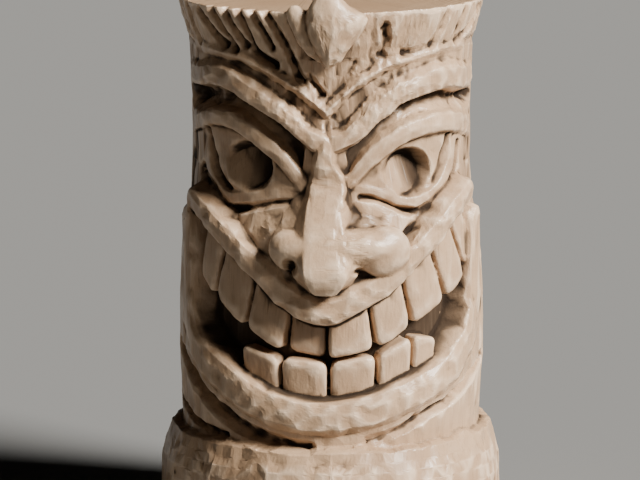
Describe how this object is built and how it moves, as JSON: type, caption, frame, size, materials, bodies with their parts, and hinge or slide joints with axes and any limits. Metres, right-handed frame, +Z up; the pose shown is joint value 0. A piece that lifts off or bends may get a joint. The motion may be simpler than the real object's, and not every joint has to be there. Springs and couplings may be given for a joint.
{
  "type": "tiki stump carving",
  "caption": "Upright log carved with a grinning tiki face, on a plain rough stump base, with a flat sawn top and a leaf knob over the brow.",
  "frame": {"origin": "middle of the flat underside of the stump", "axes": "+Z up the log towards the sawn top, the face looks along -Y, +X to the viewer's right"},
  "size_m": [0.341, 0.3485, 0.561],
  "materials": {
    "carved_wood": "satin"
  },
  "bodies": {
    "root": {"tiki_stump": "carved_wood"}
  },
  "joints": []
}
